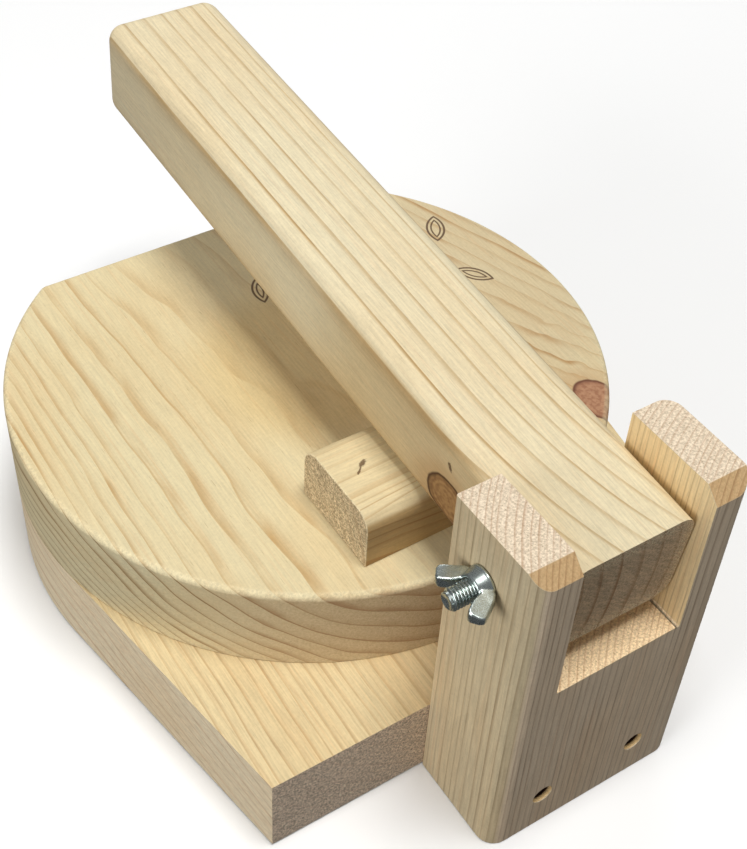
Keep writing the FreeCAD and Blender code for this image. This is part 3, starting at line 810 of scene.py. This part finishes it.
eased_copy("base_board", "base_wood", "base", mat_base, EASE)
board_disc("press_plate", "plate_wood", "plate", mat_plate, radius=127.0, back_y=101.0, corner=5.0,
           low=PLATE_LOW, high=PLATE_TOP)
eased_copy("pressure_block", "block_wood", "plate", mat_block, SMALL_PIECE_EASE)
eased_copy("lever_arm", "lever_wood", "lever", mat_lever, SMALL_PIECE_EASE)
eased_copy("fork_post", "post_wood", "base", mat_fork, EASE, skip=in_kerf)

# ------------------------------------------------------------------ wing nut and bolt (mm)
PIVOT = Vector((0.0, -167.5, 133.3))
LEFT_FACE, RIGHT_FACE = -37.0, 53.0    # x of the ears' outer faces
NUT_BASE = LEFT_FACE - 0.2
NUT_SIDES = 56
HUB = [(0.0, 6.5), (0.15, 6.8), (0.9, 6.9), (1.2, 6.65), (4.9, 5.45), (5.4, 5.15), (5.6, 4.75)]
# a wing's outline: distance from the axis, height over the nut's base
WING = [(3.4, 0.7), (7.1, 0.6), (8.6, 1.9), (10.4, 4.4), (12.6, 8.0), (13.0, 9.2), (12.3, 10.6),
        (9.9, 12.5), (8.7, 12.8), (7.7, 12.2), (5.9, 9.7), (4.9, 7.3), (4.4, 5.0), (3.4, 4.4)]
WING_MIDDLE = Vector((8.0, 6.5))
# level in units of the half thickness, and how far the outline shrinks there to round the edges
WING_LEVELS = ((-1.3, 0.5), (-0.95, 0.1), (-0.4, 0.0), (0.4, 0.0), (0.95, 0.1), (1.3, 0.5))
# half thickness of a wing, how much its top flares and from which height
WING_HALF, WING_FLARE, FLARE_FROM = 1.05, 0.25, 6.0
# extra at the root of the sloping face, where the slope ends, and its length
WING_ROOT, WING_END, ROOT_TO_END = 2.0, 13.0, 8.7
WING_TURN = 1.0                        # degrees
FORGED_GRAIN = 0.24                    # voxel size of the remesh
BORE = [(-2.0, 4.1), (20.0, 4.1)]      # a drill right through the nut: height, radius
BORE_SIDES = 48


def lathe(bm, profile, count, place):
    """Rings of place(axial, radius, angle) joined into a skin; returns the rings."""
    rings = []
    for axial, radius in profile:
        rings.append([bm.verts.new(place(axial, radius, 2 * math.pi * i / count))
                      for i in range(count)])
    skin(bm, rings)
    return rings


def nut_place(height, radius, angle):
    return Vector((NUT_BASE - height, PIVOT.y + radius * math.cos(angle),
                   PIVOT.z + radius * math.sin(angle))) * MM


def helper(name, mesh):
    """An object that carries modifiers for a while and isn't kept."""
    obj = bpy.data.objects.new(name, mesh)
    scene.collection.objects.link(obj)
    return obj


def baked(obj):
    """The object's mesh with its modifiers applied; the object itself goes."""
    shown = obj.evaluated_get(bpy.context.evaluated_depsgraph_get())
    mesh = bpy.data.meshes.new_from_object(shown)
    bpy.data.objects.remove(obj)
    return mesh


def wing_nut():
    """Hub and two wings fused by a remesh, softened, then drilled."""
    bm = bmesh.new()
    cap(bm, lathe(bm, HUB, NUT_SIDES, nut_place))
    for side in (1, -1):
        skins = []
        for level, inset in WING_LEVELS:
            ring = []
            for out, height in WING:
                q = Vector((out, height))
                q += (WING_MIDDLE - q).normalized() * inset
                half = WING_HALF + WING_FLARE * max(0.0, q.y - FLARE_FROM) / FLARE_FROM
                if level * side < 0:    # one face of each wing slopes up to a thick root
                    half += WING_ROOT * max(0.0, WING_END - q.x) / ROOT_TO_END
                ring.append(bm.verts.new(Vector((NUT_BASE - q.y, PIVOT.y + side * q.x,
                                                 PIVOT.z + level * half)) * MM))
            skins.append(ring)
        skin(bm, skins)
        cap(bm, skins)
    spin = Matrix.Translation(PIVOT * MM) @ Matrix.Rotation(math.radians(WING_TURN), 4, "X")
    bm.transform(spin @ Matrix.Translation(-PIVOT * MM))
    blank = helper("wing_nut_blank", finished(bm, "wing_nut_blank"))
    remesh = blank.modifiers.new("forge", "REMESH")
    remesh.mode = "VOXEL"
    remesh.voxel_size = FORGED_GRAIN * MM
    soften = blank.modifiers.new("soften", "SMOOTH")
    soften.factor = 0.5
    soften.iterations = 5
    body = helper("wing_nut_body", baked(blank))

    drill = bmesh.new()
    cap(drill, lathe(drill, BORE, BORE_SIDES, nut_place))
    tool = helper("drill", finished(drill, "drill"))
    bore = body.modifiers.new("bore", "BOOLEAN")
    bore.operation = "DIFFERENCE"
    bore.solver = "EXACT"
    bore.object = tool
    mesh = baked(body)
    bpy.data.objects.remove(tool)
    mesh.name = "wing_nut_forged"
    smooth(link("wing_nut_forged", mesh, "nut", "wing_nut", mat_zinc))


PITCH, CREST, BOLT_SIDES, TURNS = 1.25, 4.0, 36, 19
THREAD_ROOT = CREST - 0.61 * PITCH
STICK_OUT = 15.0                       # from the ear's face to the bolt's tip
THREAD_FROM = 0.3                      # from the tip to the thread's start
# one tooth: share of the pitch, share of the thread's depth
TOOTH = ((0.0, 0.0), (0.16, 0.62), (0.27, 0.90), (0.38, 1.0), (0.50, 1.0), (0.61, 0.90),
         (0.72, 0.62), (0.88, 0.0))
FOOT = len(TOOTH) - 1
GROW_TURNS = 0.4                       # turns over which the thread rises at the tip
TIP = [(0.80, 0.25), (0.62, 1.1), (0.20, 2.3), (0.0, THREAD_ROOT - 0.40),
       (0.06, THREAD_ROOT - 0.22), (0.22, THREAD_ROOT)]
NECK_LENGTH, NECK_HALF = 4.5, 4.1
HEAD_HEIGHT, HEAD_RADIUS, HEAD_STEPS = 4.5, 9.8, 11
HEAD_RIM = [(0.05, 9.5), (0.35, 9.78)]
CREASE = 36.0                          # degrees


def pivot_bolt():
    """Carriage bolt with a real helical thread on the wing nut's side."""
    tip_x = LEFT_FACE - STICK_OUT
    count = BOLT_SIDES
    steps = TURNS * count

    def place(axial, radius, angle):
        return Vector((tip_x + axial, PIVOT.y + radius * math.cos(angle),
                       PIVOT.z - radius * math.sin(angle))) * MM

    def square(axial):
        ring = []
        for i in range(count):
            angle = 2 * math.pi * i / count
            reach = NECK_HALF / max(abs(math.cos(angle)), abs(math.sin(angle)))
            ring.append(bm.verts.new(place(axial, reach, angle)))
        return ring

    # the thread: one column of the tooth at each step round the helix, and a last bare turn
    bm = bmesh.new()
    strip = []
    for i in range(steps + count + 1):
        angle = 2 * math.pi * i / count
        grow = min(1.0, i / (GROW_TURNS * count), max(0.0, (steps - i) / count))
        column = []
        for along, lift in TOOTH if i < steps else TOOTH[:1]:
            radius = THREAD_ROOT + (CREST - THREAD_ROOT) * lift * grow
            axial = THREAD_FROM + (i / count + along) * PITCH
            column.append(bm.verts.new(place(axial, radius, angle)))
        strip.append(column)
    for i in range(steps):
        here, there = strip[i], strip[i + 1]
        if len(there) > 1:
            for j in range(FOOT):
                bm.faces.new((here[j], there[j], there[j + 1], here[j + 1]))
            bm.faces.new((here[FOOT], there[FOOT], strip[i + 1 + count][0], strip[i + count][0]))
        else:
            bm.faces.new((here[0], there[0], strip[i + 1 + count][0], strip[i + count][0],
                          *reversed(here[1:])))

    # the tip: a dished end face, a chamfer, and a skin up to the first turn of the helix
    tip = lathe(bm, TIP, count, place)
    bm.faces.new(tip[0])
    last = tip[-1]
    for i in range(count - 1):
        bm.faces.new((last[i], last[i + 1], strip[i + 1][0], strip[i][0]))
    bm.faces.new((last[count - 1], last[0], *strip[0], strip[count][0], strip[count - 1][0]))

    # the shank, the square neck and the domed head
    thread_end = THREAD_FROM + (TURNS + 1) * PITCH
    neck_at = RIGHT_FACE - NECK_LENGTH - tip_x
    face_at = RIGHT_FACE - tip_x
    shank = lathe(bm, [(thread_end + 0.7, THREAD_ROOT), (thread_end + 1.4, CREST),
                       (neck_at - 0.2, CREST)], count, place)
    first = shank[0]
    for i in range(count - 1):
        j = steps + i
        bm.faces.new((strip[j][0], strip[j + 1][0], first[i + 1], first[i]))
    end = steps + count
    bm.faces.new((strip[end - 1][0], strip[end][0], first[0], first[count - 1]))
    bm.faces.new((strip[end][0], strip[steps][0], first[0]))
    neck = [square(neck_at), square(face_at + 0.05)]
    skin(bm, [shank[-1], *neck])
    dome = list(HEAD_RIM)
    ball = (HEAD_RADIUS ** 2 + HEAD_HEIGHT ** 2) / (2 * HEAD_HEIGHT)
    for k in range(1, HEAD_STEPS):
        t = math.asin((HEAD_RADIUS - 0.1) / ball) * (1 - k / HEAD_STEPS)
        dome.append((HEAD_HEIGHT - ball + ball * math.cos(t), ball * math.sin(t)))
    head = lathe(bm, [(face_at + height, radius) for height, radius in dome], count, place)
    bridge(bm, neck[1], head[0])
    bm.faces.new(head[-1])
    mesh = finished(bm, "bolt_threaded")
    obj = link("bolt_threaded", mesh, "base", "pivot_bolt", mat_zinc)
    smooth(obj, weighted=False)
    mesh.set_sharp_from_angle(angle=math.radians(CREASE))


wing_nut()
pivot_bolt()

# ------------------------------------------------------------------ CAD nodes shown as they are
for node, obj in nodes_of.items():
    if node.startswith("hinge"):
        material = mat_zinc if "screw" in node else mat_hinge
    elif node.startswith("post_screw"):
        material = mat_screw
    else:
        continue
    obj.data.materials.clear()
    obj.data.materials.append(material)

# ------------------------------------------------------------------ floor
FLOOR_HALF = 6           # m
FLOOR_DROP = 0.0002      # m: just under the base, so that the two faces don't fight
PAPER_DARK, PAPER_PALE = (0.94, 0.94, 0.94), (0.95, 0.95, 0.95)
floor_mesh = bpy.data.meshes.new("floor")
floor_mesh.from_pydata([(-FLOOR_HALF, -FLOOR_HALF, 0), (FLOOR_HALF, -FLOOR_HALF, 0),
                        (FLOOR_HALF, FLOOR_HALF, 0), (-FLOOR_HALF, FLOOR_HALF, 0)],
                       [], [(0, 1, 2, 3)])
floor = bpy.data.objects.new("floor", floor_mesh)
scene.collection.objects.link(floor)
floor.location.z = -FLOOR_DROP
floor.visible_diffuse = False
floor.visible_glossy = False
paper = Shader("floor_paper")
grit = paper.noise(paper.vec("SCALE", paper.coord.outputs["Object"], scale=6.0), detail=3.0)
paper.put(paper.bsdf.inputs["Base Color"], paper.mix(grit, PAPER_DARK, PAPER_PALE))
paper.bsdf.inputs["Roughness"].default_value = 0.9
floor_mesh.materials.append(paper.mat)
